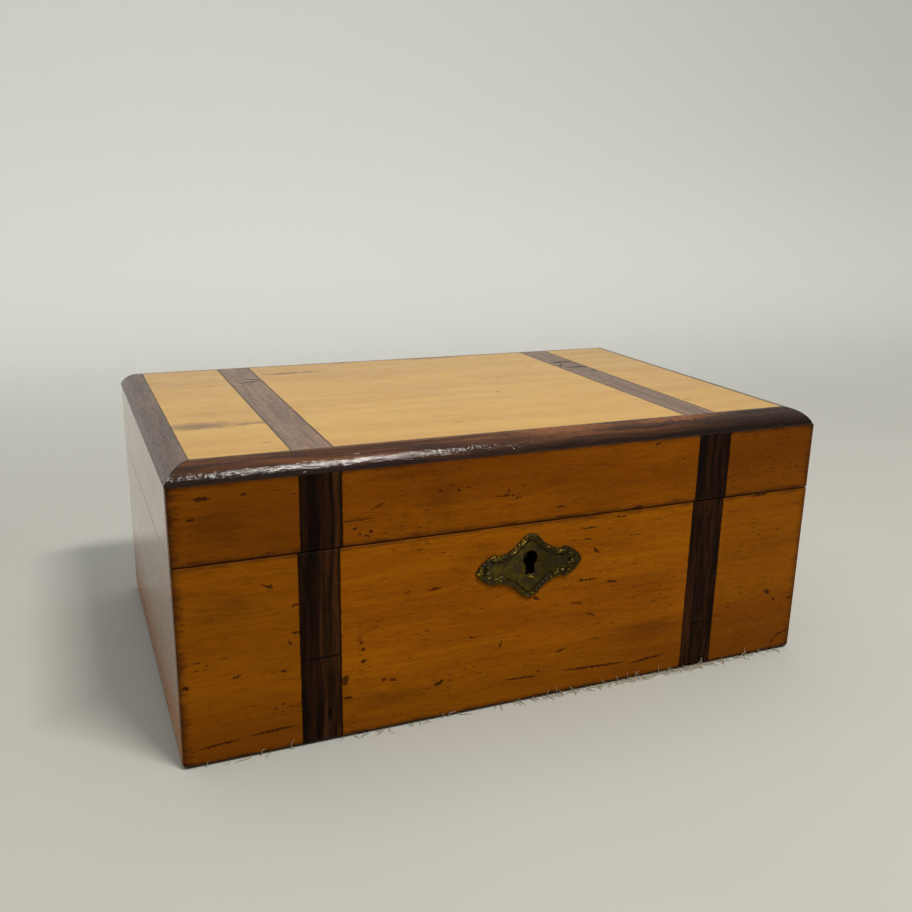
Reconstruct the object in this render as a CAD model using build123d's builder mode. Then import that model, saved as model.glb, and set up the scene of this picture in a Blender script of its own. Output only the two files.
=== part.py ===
"""A wooden tea caddy: a banded box with a hinged lid, a box lock and two lidded tea compartments.

Frame: millimetres, +Z up, origin at the middle of the base, the keyhole in the face towards -Y.
The lid is closed, the bolt is drawn back and both inner lids rest on their ledges.
"""
from build123d import *
import os
from math import radians, tan

os.makedirs("parts", exist_ok=True)

# ---- Box ----
width = 280.0
depth = 179.0
height = 116.0
wall = 10.0
cloth = 0.8                                # thickness of the cloth under the base
cloth_inset = 1.5
split = 79.9                               # lower edge of the lid
lid_gap = 0.3
moulding_foot = 109.3                      # lower edge of the moulding
corner_radius = 1.6
edge_radius = 1.2
split_radius = 0.6                         # the sharper edges where the lid meets the body
rebate = 4.5                               # how far the bottom and the top board reach into the walls
bottom_thickness = 6.0
top_board_thickness = 10.0
overrun = 1.0                              # how far a cutter runs past the surface it cuts

body_top = split - lid_gap
floor = cloth + bottom_thickness           # upper face of the bottom board
ceiling = height - top_board_thickness     # lower face of the top board
front = -depth / 2
back = depth / 2
inner_x = width / 2 - wall
inner_y = depth / 2 - wall

# ---- Moulding round the top edge: it stands back from the right-hand wall ----
moulding_width = 9.5
moulding_edge = 0.7                        # upright strip below the round
moulding_setback = 1.8
moulding_left = -width / 2
moulding_right = width / 2 - moulding_setback
moulding_middle = (moulding_left + moulding_right) / 2

# ---- Inlaid bands ----
band_width = 15.3
band_depth = 1.5
body_bands = {"left": -87.0, "right": 85.7}
lid_bands = {"left": -85.8, "right": 86.4}
top_bands = {"left": -86.1, "right": 84.6}

# ---- Hinges ----
hinge_centres = {"left": -57.0, "right": 57.0}
hinge_length = 36.0
knuckle_count = 5
knuckle_radius = 2.2
knuckle_clearance = 0.3
knuckle_gap = 0.2
leaf_width = 7.4
leaf_thickness = 1.2
hinge_pin_radius = 0.8
hinge_bore_radius = 0.86
pin_head_radius = 1.2
pin_head = 0.4
hinge_y = back - 1.9
hinge_z = split - lid_gap / 2
bevel_angle = 48.0                         # each bevelled back edge; together they stop the lid
hinge_screws = (-11.0, 0.0, 11.0)
hinge_screw_y = hinge_y - 4.6

# ---- Screws ----
screw_head_radius = 1.9
screw_radius = 0.9
screw_head_depth = 1.0
screw_length = 8.0
screw_slot = 0.5
screw_clearance = 0.05

# ---- Escutcheon and keyhole ----
escutcheon_height = 61.6
escutcheon_base = 0.9
escutcheon_rim = 0.5
rim_scale = 0.9                            # size of the sunk field against the whole outline
key_radius = 3.2
key_slot_width = 4.4
key_pin_z = 64.9
key_slot_bottom = 58.0
pin_span = 19.0                            # from the middle to each fixing pin
pin_length = 3.3
pin_radius = 0.6
pin_dome_radius = 1.0
pin_dome_height = 0.6
pin_dome_fillet = 0.35
# A quarter of the outline about its own centre: the ends and the middles of its arcs in turn.
escutcheon_quarter = [(24.0, 0), (20.8, 4.0), (16.0, 6.6), (14.2, 5.8), (12.2, 6.2), (8.0, 8.2),
                      (4.2, 11.7), (2.1, 13.3), (0, 13.9)]

# ---- Box lock ----
lock_half_width = 31.0
case_half_width = 24.0
lock_plate = 1.5
case_bottom = 54.0
case_front = -86.8
case_wall = 1.0
cap_thickness = 0.8
selvedge_front = -87.5
lock_y = -83.5                             # middle plane of the bolt and the staples
key_pin_radius = 1.2
key_pin_chamfer = 0.4
lock_screw_x = 27.5
lock_screw_heights = (58.0, 73.0)
link_screw_x = 27.0
link_margin = 1.0                          # from the link plate's back edge to the wall's inner face
staple_centres = (-12.0, 12.0)
staple_width = 2.2
staple_inner = 1.1                         # half the staple's eye, front to back
staple_leg = 0.9
staple_bottom = 73.0
staple_bend = 1.3
staple_slot_clearance = 0.6
bolt_thickness = 1.6
bolt_travel = 4.5
bolt_low = 68.9
bolt_high = 77.4
tongue_low = 74.7
guide_radius = 0.9
guide_clearance = 0.35
guide_x = 1.0
guide_z = 75.0
tongue_gap = 0.5                           # from the waiting tongue to the staple beside it
post_width = 3.5
bar_top = 72.5
bar_start = 1.6                            # from the first staple's middle to the bolt's full-height part
talon_x = (-5.3, 0.8)
talon_top = 71.9
shelf_end = -9.0                           # the shelf in the case that the spring bears on
shelf_heights = (64.0, 65.0)
spring_thickness = 0.4
spring_foot = 0.6
spring_root_x = -11.5
spring_low = (-15.5, 65.9)
spring_tip = (-20.5, 67.6)

# ---- Inside ----
division_thickness = 5.0
division_top = 75.0
division_fillet = 1.5
foil = 0.5
ledge_low = 62.0
ledge_high = 67.0
ledge_width = 4.0
ledge_gap = 0.1                            # between the ends of neighbouring ledges
inner_lid_thickness = 5.0
inner_lid_clearance = 0.6
inner_lid_chamfer = 1.2
# The knob's outline as (radius, height): a foot, a narrow neck and a flattened ball.
knob_foot = [(0, 0), (5.2, 0), (5.2, 1.0), (3.4, 2.2)]
knob_neck = [(2.9, 3.4), (5.0, 4.6)]
knob_ball = [(8.0, 6.9), (4.0, 9.4)]
knob_crown = [(1.6, 10.0), (0, 10.0), (0, 0)]
pad_thickness = 4.0
pad_clearance = 1.0
pad_gap = 0.3
pad_fillet = 1.5
compartments = {
    "left": (-inner_x, -division_thickness / 2),
    "right": (division_thickness / 2, inner_x),
}

# The corners at the two ends of each side, as signs of X and Y.
sides = {
    "front": ((-1, -1), (1, -1)),
    "right": ((1, -1), (1, 1)),
    "back": ((1, 1), (-1, 1)),
    "left": ((-1, 1), (-1, -1)),
}


# ---- Shapes used more than once ----
def block(x, y, z):
    """A plain box between two values on each axis."""
    with BuildPart() as box:
        with BuildSketch(Plane.XY.offset(z[0])):
            with Locations(((x[0] + x[1]) / 2, (y[0] + y[1]) / 2)):
                Rectangle(x[1] - x[0], y[1] - y[0])
        extrude(amount=z[1] - z[0])
    return box.part


def rod(centre_x, centre_y, centre_z, radius, length):
    """A round bar along X, centred on a point."""
    with BuildPart() as bar:
        with BuildSketch(Plane.YZ.offset(centre_x)):
            with Locations((centre_y, centre_z)):
                Circle(radius)
        extrude(amount=length / 2, both=True)
    return bar.part


def mitre_wedge(side, middle=0.0, outer_width=width):
    """Everything that belongs to one side of the box, cut off at 45 degrees at the corners."""
    inside = 60.0
    points = []
    for reach, corners in ((overrun, sides[side]), (-inside, sides[side][::-1])):
        for sign_x, sign_y in corners:
            points.append((middle + sign_x * (outer_width / 2 + reach), sign_y * (depth / 2 + reach)))
    with BuildPart() as wedge:
        with BuildSketch():
            Polygon(*points, align=None)
        extrude(amount=height)
    return wedge.part


def back_bevel(face_z, direction):
    """The wedge cut off a back edge, along the hinge line; direction is +1 upwards, -1 downwards."""
    beyond = back + overrun - hinge_y
    drop = beyond * tan(radians(bevel_angle))
    with BuildPart() as bevel:
        with BuildSketch(Plane.YZ):
            Polygon((hinge_y, face_z), (hinge_y + beyond, face_z),
                    (hinge_y + beyond, face_z + direction * drop), align=None)
        extrude(amount=width / 2 + overrun, both=True)
    return bevel.part


def walls(low, high, lower_radius, upper_radius=None):
    """The four walls in one piece, with rounded outer edges. The boards and bands are cut from it."""
    with BuildPart() as ring:
        with BuildSketch(Plane.XY.offset(low)):
            RectangleRounded(width, depth, corner_radius)
        extrude(amount=high - low)
        fillet(ring.faces().sort_by(Axis.Z)[0].edges(), lower_radius)
        if upper_radius:
            fillet(ring.faces().sort_by(Axis.Z)[-1].edges(), upper_radius)
        add(block((-inner_x, inner_x), (-inner_y, inner_y), (low, high)), mode=Mode.SUBTRACT)
    return ring.part


def face_band(centre, low, high, facing):
    """The slab of wall that one inlaid band takes up; facing is the front or the back face."""
    inner_face = facing - band_depth if facing > 0 else facing + band_depth
    outer_face = facing + overrun if facing > 0 else facing - overrun
    return block((centre - band_width / 2, centre + band_width / 2),
                 sorted((inner_face, outer_face)), (low, high))


def screw(clearance=0.0):
    """A slotted countersunk screw pointing along +Z, or with a clearance the hole for it."""
    head = screw_head_radius + clearance
    shank = screw_radius + clearance
    length = screw_length + clearance
    with BuildPart() as one:
        with BuildSketch(Plane.XZ):
            Polygon((0, 0), (head, 0), (shank, screw_head_depth), (shank, length - shank), (0, length),
                    align=None)
        revolve(axis=Axis.Z)
        if clearance == 0:
            add(block((-head, head), (-screw_slot / 2, screw_slot / 2), (0, screw_slot)),
                mode=Mode.SUBTRACT)
    return one.part


def at_heads(piece, heads, direction):
    """Copies of a screw or of its hole with their heads at the given points."""
    return [piece.moved(Plane(origin=head, z_dir=direction).location) for head in heads]


def keyhole(depth_in):
    """The keyhole as a cutter, running inwards from in front of the escutcheon."""
    slot_round = key_slot_width / 2
    with BuildPart() as hole:
        with BuildSketch(Plane.XZ.offset(-depth_in)):
            with Locations((0, key_pin_z)):
                Circle(key_radius)
            with Locations((0, (key_pin_z + key_slot_bottom + slot_round) / 2)):
                Rectangle(key_slot_width, key_pin_z - key_slot_bottom - slot_round)
            with Locations((0, key_slot_bottom + slot_round)):
                Circle(slot_round)
        extrude(amount=depth_in - front + escutcheon_base + escutcheon_rim + overrun)
    return hole.part


# ---- Walls, hinge recesses and the lock's mortise ----
hinge_heads = [(centre + x, hinge_screw_y) for centre in hinge_centres.values() for x in hinge_screws]
lower_heads = [(x, y, body_top) for x, y in hinge_heads]
upper_heads = [(x, y, split) for x, y in hinge_heads]
lower_screw_holes = at_heads(screw(screw_clearance), lower_heads, (0, 0, -1))
upper_screw_holes = at_heads(screw(screw_clearance), upper_heads, (0, 0, 1))

knuckle_room = [
    rod(centre, hinge_y, hinge_z, knuckle_radius + knuckle_clearance, hinge_length + 4 * pin_head)
    for centre in hinge_centres.values()
]


def leaf_plates(z):
    """The flat parts of both hinges' leaves, between two heights."""
    return [block((centre - hinge_length / 2, centre + hinge_length / 2),
                  (hinge_y - leaf_width, hinge_y), z) for centre in hinge_centres.values()]


with BuildPart() as body_walls:
    add(walls(cloth, body_top, edge_radius, split_radius))
    add(block((-inner_x - rebate, inner_x + rebate), (-inner_y - rebate, inner_y + rebate),
              (cloth, floor)), mode=Mode.SUBTRACT)
    add(back_bevel(body_top, -1), mode=Mode.SUBTRACT)

with BuildPart() as lid_walls:
    add(walls(split, moulding_foot, split_radius))
    add(block((-inner_x - rebate, inner_x + rebate), (-inner_y - rebate, inner_y + rebate),
              (ceiling, moulding_foot)), mode=Mode.SUBTRACT)
    add(back_bevel(split, 1), mode=Mode.SUBTRACT)

lock_heads = [(x, -inner_y, z) for x in (-lock_screw_x, lock_screw_x) for z in lock_screw_heights]
lock_screw_holes = at_heads(screw(screw_clearance), lock_heads, (0, -1, 0))

with BuildPart() as lock_mortise:
    add(block((-lock_half_width, lock_half_width), (-inner_y - lock_plate, -inner_y),
              (case_bottom, body_top)))
    add(block((-case_half_width, case_half_width), (case_front, -inner_y), (case_bottom, body_top)))
    add(block((-lock_half_width, lock_half_width), (selvedge_front, -inner_y),
              (body_top - lock_plate, body_top)))
    add(lock_screw_holes)

link_heads = [(x, lock_y, split) for x in (-link_screw_x, link_screw_x)]
link_screw_holes = at_heads(screw(screw_clearance), link_heads, (0, 0, 1))
link_back = -inner_y - link_margin

escutcheon_plane = Plane(origin=(0, front, escutcheon_height), x_dir=(1, 0, 0), z_dir=(0, -1, 0))
pin_heads = [(x, front - escutcheon_base, escutcheon_height) for x in (-pin_span, pin_span)]

with BuildPart() as escutcheon_pins:
    for x in (-pin_span, pin_span):
        with BuildSketch(escutcheon_plane.offset(escutcheon_base)):
            with Locations((x, 0)):
                Circle(pin_radius)
        extrude(amount=-pin_length)
        with BuildSketch(escutcheon_plane.offset(escutcheon_base)):
            with Locations((x, 0)):
                Circle(pin_dome_radius)
        extrude(amount=pin_dome_height)
    fillet(escutcheon_pins.faces().sort_by(Axis.Y)[0:2].edges(), pin_dome_fillet)
escutcheon_pins.part.label = "escutcheon_pins"
export_step(escutcheon_pins.part, "parts/escutcheon_pins.step")

# ---- Body ----
with BuildPart() as front_board:
    add(body_walls.part)
    add(mitre_wedge("front"), mode=Mode.INTERSECT)
    for centre in body_bands.values():
        add(face_band(centre, 0, split, front), mode=Mode.SUBTRACT)
    add(lock_mortise.part, mode=Mode.SUBTRACT)
    add(keyhole(case_front), mode=Mode.SUBTRACT)
    add(escutcheon_pins.part, mode=Mode.SUBTRACT)
front_board.part.label = "front_board"
export_step(front_board.part, "parts/front_board.step")

with BuildPart() as back_board:
    add(body_walls.part)
    add(mitre_wedge("back"), mode=Mode.INTERSECT)
    for centre in body_bands.values():
        add(face_band(centre, 0, split, back), mode=Mode.SUBTRACT)
    add(knuckle_room, mode=Mode.SUBTRACT)
    add(leaf_plates((body_top - leaf_thickness, body_top)), mode=Mode.SUBTRACT)
    add(lower_screw_holes, mode=Mode.SUBTRACT)
back_board.part.label = "back_board"
export_step(back_board.part, "parts/back_board.step")

for side in ("left", "right"):
    with BuildPart() as side_board:
        add(body_walls.part)
        add(mitre_wedge(side), mode=Mode.INTERSECT)
    side_board.part.label = f"{side}_board"
    export_step(side_board.part, f"parts/{side}_board.step")

for side, centre in body_bands.items():
    for face_name, face in (("front", front), ("back", back)):
        with BuildPart() as body_band:
            add(body_walls.part)
            add(face_band(centre, 0, split, face), mode=Mode.INTERSECT)
        body_band.part.label = f"{side}_{face_name}_band"
        export_step(body_band.part, f"parts/{side}_{face_name}_band.step")

with BuildPart() as bottom_board:
    add(block((-inner_x - rebate, inner_x + rebate), (-inner_y - rebate, inner_y + rebate),
              (cloth, floor)))
bottom_board.part.label = "bottom_board"
export_step(bottom_board.part, "parts/bottom_board.step")

with BuildPart() as base_cloth:
    add(block((-width / 2 + cloth_inset, width / 2 - cloth_inset), (front + cloth_inset, back - cloth_inset),
              (0, cloth)))
base_cloth.part.label = "base_cloth"
export_step(base_cloth.part, "parts/base_cloth.step")

# ---- Lid ----
with BuildPart() as lid_front_board:
    add(lid_walls.part)
    add(mitre_wedge("front"), mode=Mode.INTERSECT)
    for centre in lid_bands.values():
        add(face_band(centre, 0, moulding_foot, front), mode=Mode.SUBTRACT)
    add(block((-lock_half_width, lock_half_width), (selvedge_front, link_back),
              (split, split + lock_plate)), mode=Mode.SUBTRACT)
    add(link_screw_holes, mode=Mode.SUBTRACT)
lid_front_board.part.label = "lid_front_board"
export_step(lid_front_board.part, "parts/lid_front_board.step")

with BuildPart() as lid_back_board:
    add(lid_walls.part)
    add(mitre_wedge("back"), mode=Mode.INTERSECT)
    for centre in lid_bands.values():
        add(face_band(centre, 0, moulding_foot, back), mode=Mode.SUBTRACT)
    add(knuckle_room, mode=Mode.SUBTRACT)
    add(leaf_plates((split, split + leaf_thickness)), mode=Mode.SUBTRACT)
    add(upper_screw_holes, mode=Mode.SUBTRACT)
lid_back_board.part.label = "lid_back_board"
export_step(lid_back_board.part, "parts/lid_back_board.step")

with BuildPart() as lid_left_board:
    add(lid_walls.part)
    add(mitre_wedge("left"), mode=Mode.INTERSECT)
lid_left_board.part.label = "lid_left_board"
export_step(lid_left_board.part, "parts/lid_left_board.step")

# The right-hand wall stands out beyond the moulding there, and its bare upper edge is worn round.
with BuildPart() as worn_right_edge:
    add(block((0, width / 2), (front, back), (0, moulding_foot)))
    upper_edge = worn_right_edge.edges().filter_by(Axis.Y).group_by(Axis.X)[-1].sort_by(Axis.Z)[-1]
    fillet(upper_edge, edge_radius)

with BuildPart() as lid_right_board:
    add(lid_walls.part)
    add(mitre_wedge("right"), mode=Mode.INTERSECT)
    add(worn_right_edge.part, mode=Mode.INTERSECT)
lid_right_board.part.label = "lid_right_board"
export_step(lid_right_board.part, "parts/lid_right_board.step")

for side, centre in lid_bands.items():
    for face_name, face in (("front", front), ("back", back)):
        with BuildPart() as lid_band:
            add(lid_walls.part)
            add(face_band(centre, 0, moulding_foot, face), mode=Mode.INTERSECT)
        lid_band.part.label = f"lid_{side}_{face_name}_band"
        export_step(lid_band.part, f"parts/lid_{side}_{face_name}_band.step")

panel_x = (moulding_left + moulding_width, moulding_right - moulding_width)
panel_y = (front + moulding_width, back - moulding_width)


def top_band_slab(centre):
    """The groove across the top board that one band fills."""
    return block((centre - band_width / 2, centre + band_width / 2), panel_y, (height - band_depth, height))


with BuildPart() as lid_top_board:
    add(block((-inner_x - rebate, inner_x + rebate), (-inner_y - rebate, inner_y + rebate),
              (ceiling, moulding_foot)))
    add(block(panel_x, panel_y, (ceiling, height)))
    for centre in top_bands.values():
        add(top_band_slab(centre), mode=Mode.SUBTRACT)
lid_top_board.part.label = "lid_top_board"
export_step(lid_top_board.part, "parts/lid_top_board.step")

for side, centre in top_bands.items():
    with BuildPart() as top_band:
        add(top_band_slab(centre))
    top_band.part.label = f"{side}_top_band"
    export_step(top_band.part, f"parts/{side}_top_band.step")

moulding_sides = {
    "front": ((moulding_middle, front), (0, 1, 0), width / 2),
    "back": ((moulding_middle, back), (0, -1, 0), width / 2),
    "left": ((moulding_left, 0), (1, 0, 0), depth / 2),
    "right": ((moulding_right, 0), (-1, 0, 0), depth / 2),
}
for side, ((x, y), inward, half_length) in moulding_sides.items():
    along = Vector(*inward).cross(Vector(0, 0, 1))
    with BuildPart() as moulding:
        with BuildSketch(Plane(origin=(x, y, 0), x_dir=inward, z_dir=along)):
            with BuildLine():
                round_top = TangentArc((moulding_width, height), (0, moulding_foot + moulding_edge),
                                       tangent=(-1, 0))
                Polyline(round_top @ 1, (0, moulding_foot), (moulding_width, moulding_foot), round_top @ 0)
            make_face()
        extrude(amount=half_length, both=True)
        add(mitre_wedge(side, moulding_middle, moulding_right - moulding_left), mode=Mode.INTERSECT)
    moulding.part.label = f"{side}_moulding"
    export_step(moulding.part, f"parts/{side}_moulding.step")

with BuildPart() as lid_lining_pad:
    add(block((-inner_x + pad_clearance, inner_x - pad_clearance),
              (-inner_y + pad_clearance, inner_y - pad_clearance),
              (ceiling - pad_gap - pad_thickness, ceiling - pad_gap)))
    fillet(lid_lining_pad.faces().sort_by(Axis.Z)[0].edges(), pad_fillet)
lid_lining_pad.part.label = "lid_lining_pad"
export_step(lid_lining_pad.part, "parts/lid_lining_pad.step")

# ---- Hinges ----
knuckle_pitch = hinge_length / knuckle_count


def hinge_leaf(centre, plate_z, own, others, screw_holes):
    """One leaf: a plate with its own knuckles, cut away round the other leaf's knuckles."""
    start = centre - hinge_length / 2
    with BuildPart() as leaf:
        add(block((start + knuckle_gap / 2, start + hinge_length - knuckle_gap / 2),
                  (hinge_y - leaf_width, hinge_y), plate_z))
        for number in others:
            middle = start + (number + 0.5) * knuckle_pitch
            add(rod(middle, hinge_y, hinge_z, knuckle_radius + knuckle_clearance,
                    knuckle_pitch + knuckle_gap), mode=Mode.SUBTRACT)
        for number in own:
            middle = start + (number + 0.5) * knuckle_pitch
            add(rod(middle, hinge_y, hinge_z, knuckle_radius, knuckle_pitch - knuckle_gap))
        add(rod(centre, hinge_y, hinge_z, hinge_bore_radius, hinge_length + overrun), mode=Mode.SUBTRACT)
        add(screw_holes, mode=Mode.SUBTRACT)
    return leaf.part


for side, centre in hinge_centres.items():
    with BuildPart() as lower_leaf:
        add(hinge_leaf(centre, (body_top - leaf_thickness, body_top), (0, 2, 4), (1, 3), lower_screw_holes))
    lower_leaf.part.label = f"{side}_hinge_lower_leaf"
    export_step(lower_leaf.part, f"parts/{side}_hinge_lower_leaf.step")

    with BuildPart() as upper_leaf:
        add(hinge_leaf(centre, (split, split + leaf_thickness), (1, 3), (0, 2, 4), upper_screw_holes))
    upper_leaf.part.label = f"{side}_hinge_upper_leaf"
    export_step(upper_leaf.part, f"parts/{side}_hinge_upper_leaf.step")

    with BuildPart() as hinge_pin:
        add(rod(centre, hinge_y, hinge_z, hinge_pin_radius, hinge_length))
        for end in (-1, 1):
            head_middle = centre + end * (hinge_length - knuckle_gap + pin_head) / 2
            add(rod(head_middle, hinge_y, hinge_z, pin_head_radius, pin_head))
    hinge_pin.part.label = f"{side}_hinge_pin"
    export_step(hinge_pin.part, f"parts/{side}_hinge_pin.step")

with BuildPart() as lower_hinge_screws:
    add(at_heads(screw(), lower_heads, (0, 0, -1)))
lower_hinge_screws.part.label = "lower_hinge_screws"
export_step(lower_hinge_screws.part, "parts/lower_hinge_screws.step")

with BuildPart() as upper_hinge_screws:
    add(at_heads(screw(), upper_heads, (0, 0, 1)))
upper_hinge_screws.part.label = "upper_hinge_screws"
export_step(upper_hinge_screws.part, "parts/upper_hinge_screws.step")

# ---- Escutcheon: a lozenge with a lobed point at each end ----
with BuildSketch() as escutcheon_outline:
    with BuildLine():
        for first in range(0, len(escutcheon_quarter) - 2, 2):
            ThreePointArc(*escutcheon_quarter[first:first + 3])
        mirror(about=Plane.YZ)
        mirror(about=Plane.XZ)
    make_face()

with BuildPart() as escutcheon:
    with BuildSketch(escutcheon_plane):
        add(escutcheon_outline.sketch)
    extrude(amount=escutcheon_base + escutcheon_rim)
    with BuildSketch(escutcheon_plane.offset(escutcheon_base)):
        add(escutcheon_outline.sketch.scale(rim_scale))
    extrude(amount=escutcheon_rim, mode=Mode.SUBTRACT)
    add(keyhole(front), mode=Mode.SUBTRACT)
    add(escutcheon_pins.part, mode=Mode.SUBTRACT)
escutcheon.part.label = "escutcheon"
export_step(escutcheon.part, "parts/escutcheon.step")

# ---- Box lock ----
case_inner_front = case_front + cap_thickness
plate_front = -inner_y - lock_plate

with BuildPart() as lock_case:
    add(block((-lock_half_width, lock_half_width), (plate_front, -inner_y), (case_bottom, body_top)))
    add(block((-lock_half_width, lock_half_width), (selvedge_front, plate_front),
              (body_top - lock_plate, body_top)))
    add(block((-case_half_width, case_half_width), (case_inner_front, plate_front),
              (case_bottom, body_top)))
    add(block((case_wall - case_half_width, case_half_width - case_wall), (case_inner_front, plate_front),
              (case_bottom + case_wall, body_top - lock_plate)), mode=Mode.SUBTRACT)
    for x in staple_centres:
        half = staple_width / 2 + staple_slot_clearance
        add(block((x - half, x + half), (case_inner_front, plate_front), (body_top - lock_plate, body_top)),
            mode=Mode.SUBTRACT)
    with BuildSketch(Plane.XZ.offset(-plate_front)):
        with Locations((guide_x, guide_z)):
            Circle(guide_radius)
    extrude(amount=plate_front - case_inner_front)
    add(block((case_wall - case_half_width, shelf_end), (case_inner_front, plate_front), shelf_heights))
    add(lock_screw_holes, mode=Mode.SUBTRACT)
    with BuildSketch(Plane.XZ.offset(inner_y)):
        with Locations((0, key_pin_z)):
            Circle(key_pin_radius)
    extrude(amount=lock_plate, mode=Mode.SUBTRACT)
lock_case.part.label = "lock_case"
export_step(lock_case.part, "parts/lock_case.step")

with BuildPart() as lock_cap:
    add(block((-case_half_width, case_half_width), (case_front, case_inner_front),
              (case_bottom, body_top - lock_plate)))
    add(keyhole(case_inner_front), mode=Mode.SUBTRACT)
lock_cap.part.label = "lock_cap"
export_step(lock_cap.part, "parts/lock_cap.step")

with BuildPart() as lock_key_pin:
    with BuildSketch(Plane.XZ.offset(inner_y)):
        with Locations((0, key_pin_z)):
            Circle(key_pin_radius)
    extrude(amount=-inner_y - case_inner_front)
    chamfer(lock_key_pin.faces().sort_by(Axis.Y)[0].edges(), key_pin_chamfer)
lock_key_pin.part.label = "lock_key_pin"
export_step(lock_key_pin.part, "parts/lock_key_pin.step")

with BuildPart() as lock_screws:
    add(at_heads(screw(), lock_heads, (0, -1, 0)))
lock_screws.part.label = "lock_screws"
export_step(lock_screws.part, "parts/lock_screws.step")

bolt_y = (lock_y - bolt_thickness / 2, lock_y + bolt_thickness / 2)
tongue_tip = -(staple_width / 2 + tongue_gap)    # from a staple's middle to the tongue beside it
tongue_root = tongue_tip - bolt_travel
post_left = tongue_root - post_width
bolt_left = staple_centres[0] + post_left
bolt_right = staple_centres[1] + bar_start

with BuildPart() as lock_bolt:
    add(block((bolt_left, bolt_right), bolt_y, (bolt_low, bar_top)))
    add(block((staple_centres[0] + bar_start, staple_centres[1] + tongue_root), bolt_y,
              (bolt_low, bolt_high)))
    for x in staple_centres:
        add(block((x + post_left, x + tongue_root), bolt_y, (bolt_low, bolt_high)))
        add(block((x + tongue_root, x + tongue_tip), bolt_y, (tongue_low, bolt_high)))
    add(block(talon_x, bolt_y, (bolt_low, talon_top)), mode=Mode.SUBTRACT)
    with BuildSketch(Plane.XZ.offset(-bolt_y[1])):
        with Locations((guide_x - bolt_travel / 2, guide_z)):
            SlotCenterToCenter(bolt_travel, 2 * (guide_radius + guide_clearance))
    extrude(amount=bolt_thickness, mode=Mode.SUBTRACT)
lock_bolt.part.label = "lock_bolt"
export_step(lock_bolt.part, "parts/lock_bolt.step")

spring_root = (spring_root_x, bolt_low)
with BuildPart() as bolt_spring:
    with BuildSketch(Plane.XZ.offset(-bolt_y[1])):
        with BuildLine():
            upper = ThreePointArc(spring_root, spring_low, spring_tip)
            end = Line(upper @ 1, (spring_tip[0], spring_tip[1] - spring_thickness))
            lower = ThreePointArc(end @ 1, (spring_low[0], spring_low[1] - spring_thickness),
                                  (spring_root_x + spring_foot, bolt_low))
            Line(lower @ 1, upper @ 0)
        make_face()
    extrude(amount=bolt_thickness)
bolt_spring.part.label = "bolt_spring"
export_step(bolt_spring.part, "parts/bolt_spring.step")

with BuildPart() as link_plate:
    add(block((-lock_half_width, lock_half_width), (selvedge_front, link_back), (split, split + lock_plate)))
    add(link_screw_holes, mode=Mode.SUBTRACT)
link_plate.part.label = "link_plate"
export_step(link_plate.part, "parts/link_plate.step")

with BuildPart() as link_staples:
    outer = staple_inner + staple_leg
    for x in staple_centres:
        across = (x - staple_width / 2, x + staple_width / 2)
        add(block(across, (lock_y - outer, lock_y + outer), (staple_bottom, split)))
        add(block(across, (lock_y - staple_inner, lock_y + staple_inner),
                  (staple_bottom + staple_bend, split)), mode=Mode.SUBTRACT)
link_staples.part.label = "link_staples"
export_step(link_staples.part, "parts/link_staples.step")

with BuildPart() as link_screws:
    add(at_heads(screw(), link_heads, (0, 0, 1)))
link_screws.part.label = "link_screws"
export_step(link_screws.part, "parts/link_screws.step")

# ---- Inside: division, linings, ledges and inner lids ----
with BuildPart() as central_division:
    add(block((-division_thickness / 2, division_thickness / 2), (-inner_y, inner_y), (floor, division_top)))
    fillet(central_division.faces().sort_by(Axis.Z)[-1].edges().filter_by(Axis.Y), division_fillet)
central_division.part.label = "central_division"
export_step(central_division.part, "parts/central_division.step")

for side, (x_low, x_high) in compartments.items():
    with BuildPart() as foil_lining:
        add(block((x_low, x_high), (-inner_y, inner_y), (floor, ledge_low)))
        add(block((x_low + foil, x_high - foil), (foil - inner_y, inner_y - foil), (floor + foil, ledge_low)),
            mode=Mode.SUBTRACT)
    foil_lining.part.label = f"{side}_foil_lining"
    export_step(foil_lining.part, f"parts/{side}_foil_lining.step")

    with BuildPart() as ledges:
        for y in ((-inner_y, ledge_width - inner_y), (inner_y - ledge_width, inner_y)):
            add(block((x_low, x_high), y, (ledge_low, ledge_high)))
        for x in ((x_low, x_low + ledge_width), (x_high - ledge_width, x_high)):
            add(block(x, (ledge_width + ledge_gap - inner_y, inner_y - ledge_width - ledge_gap),
                      (ledge_low, ledge_high)))
    ledges.part.label = f"{side}_ledges"
    export_step(ledges.part, f"parts/{side}_ledges.step")

    middle = (x_low + x_high) / 2
    lid_x = (x_low + inner_lid_clearance, x_high - inner_lid_clearance)
    lid_y = (inner_lid_clearance - inner_y, inner_y - inner_lid_clearance)
    lid_top = ledge_high + inner_lid_thickness
    with BuildPart() as inner_lid:
        add(block(lid_x, lid_y, (ledge_high, lid_top)))
        chamfer(inner_lid.faces().sort_by(Axis.Z)[-1].edges(), inner_lid_chamfer)
    inner_lid.part.label = f"{side}_inner_lid"
    export_step(inner_lid.part, f"parts/{side}_inner_lid.step")

    with BuildPart() as knob:
        with BuildSketch(Plane(origin=(middle, 0, lid_top), x_dir=(1, 0, 0), z_dir=(0, -1, 0))):
            with BuildLine():
                Polyline(*knob_foot)
                ThreePointArc(knob_foot[-1], *knob_neck)
                ThreePointArc(knob_neck[-1], *knob_ball)
                Polyline(knob_ball[-1], *knob_crown)
            make_face()
        revolve(axis=Axis((middle, 0, 0), (0, 0, 1)))
    knob.part.label = f"{side}_inner_lid_knob"
    export_step(knob.part, f"parts/{side}_inner_lid_knob.step")
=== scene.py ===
import math
import random
from functools import reduce

import bmesh
import bpy
from mathutils import Matrix, Vector, noise


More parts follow.
